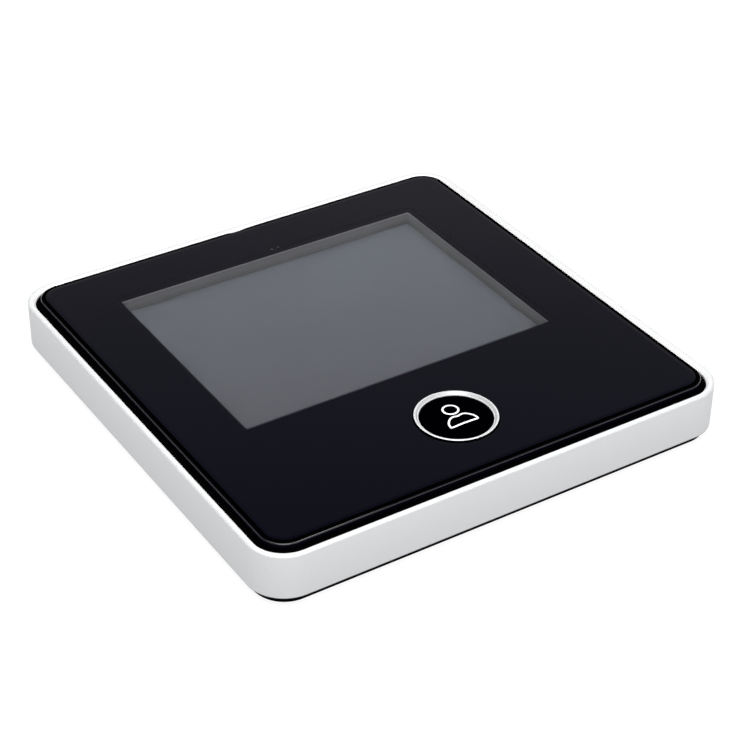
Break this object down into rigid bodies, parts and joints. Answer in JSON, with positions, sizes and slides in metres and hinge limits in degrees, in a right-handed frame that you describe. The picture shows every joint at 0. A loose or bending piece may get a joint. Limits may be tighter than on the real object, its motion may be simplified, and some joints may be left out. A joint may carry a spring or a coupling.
{
  "type": "peephole door camera monitor",
  "caption": "Square indoor screen unit of a peephole door camera, with a silver frame, glossy black face, view button and a cable bay in its back.",
  "frame": {"origin": "middle of the flat back face that the unit lies on", "axes": "+Z out of the screen's face, +Y towards the top edge of the face, +X to the right of the screen"},
  "size_m": [0.108, 0.108, 0.0133],
  "materials": {
    "satin_aluminium": "fine blasted and clear anodised, satin",
    "black_abs": "fine-grained moulding",
    "clear_lens": "polished, clear",
    "black_print": "opaque black print seen through the lens",
    "black_foam": "foam tape",
    "grey_foam": "grey foam",
    "satin_plating": "satin plated",
    "gloss_black": "polished moulding",
    "switch_black": "moulded",
    "switch_steel": "plated shell",
    "display_glass": "polariser over glass, grey when off",
    "white_diffuser": "white moulded frame and diffuser",
    "tray_steel": "stamped sheet",
    "ribbon_amber": "polyimide film",
    "connector_ivory": "moulded nylon",
    "board_green": "solder mask",
    "screw_steel": "zinc plated",
    "screw_black": "black zinc",
    "chip_black": "moulded package",
    "pin_brass": "plated",
    "battery_foil": "laminated foil pouch",
    "lead_red": "insulated wire",
    "cone_paper": "black pressed paper",
    "lead_black": "insulated wire",
    "boot_rubber": "soft moulding"
  },
  "bodies": {
    "unit": {"silver_frame": "satin_aluminium", "front_housing": "black_abs", "rear_cover": "black_abs", "front_lens": "clear_lens", "lens_mask": "black_print", "lens_tape": "black_foam", "display_gasket": "grey_foam", "button_ring": "satin_plating", "push_switch_body": "switch_black", "power_switch_body": "switch_steel", "display_glass": "display_glass", "display_backlight": "white_diffuser", "display_tray": "tray_steel", "display_ribbon": "ribbon_amber", "ribbon_connector": "connector_ivory", "main_board": "board_green", "board_screws": "screw_steel", "case_screws": "screw_black", "shield_can": "tray_steel", "processor_chip": "chip_black", "memory_chip": "chip_black", "charging_socket": "switch_steel", "charging_tongue": "switch_black", "camera_socket": "connector_ivory", "camera_socket_pins": "pin_brass", "battery_cell": "battery_foil", "battery_tape": "black_foam", "battery_socket": "connector_ivory", "battery_plug": "connector_ivory", "battery_leads": "lead_red", "speaker_gasket": "black_foam", "speaker_frame": "switch_black", "speaker_cone": "cone_paper", "speaker_magnet": "tray_steel", "speaker_leads": "lead_black", "microphone_boot": "boot_rubber", "microphone": "switch_steel", "microphone_lead": "lead_black"},
    "view_button": {"view_button": "gloss_black"},
    "switch_plunger": {"push_switch_plunger": "switch_black"},
    "power_slider": {"power_switch_slider": "switch_black"}
  },
  "joints": [
    {"name": "view_button_press", "type": "slide", "parent": "unit", "child": "view_button", "axis": [0, 0, -1], "range_m": [0, 0.0003], "stiffness_N_per_m": 400, "springref_m": -0.002},
    {"name": "switch_plunger_press", "type": "slide", "parent": "unit", "child": "switch_plunger", "axis": [0, 0, -1], "range_m": [0, 0.0003]},
    {"name": "power_switch_slide", "type": "slide", "parent": "unit", "child": "power_slider", "axis": [1, 0, 0], "range_m": [0, 0.002]}
  ],
  "couplings": [
    {"joint": "switch_plunger_press", "follows": "view_button_press", "ratio": 1}
  ]
}
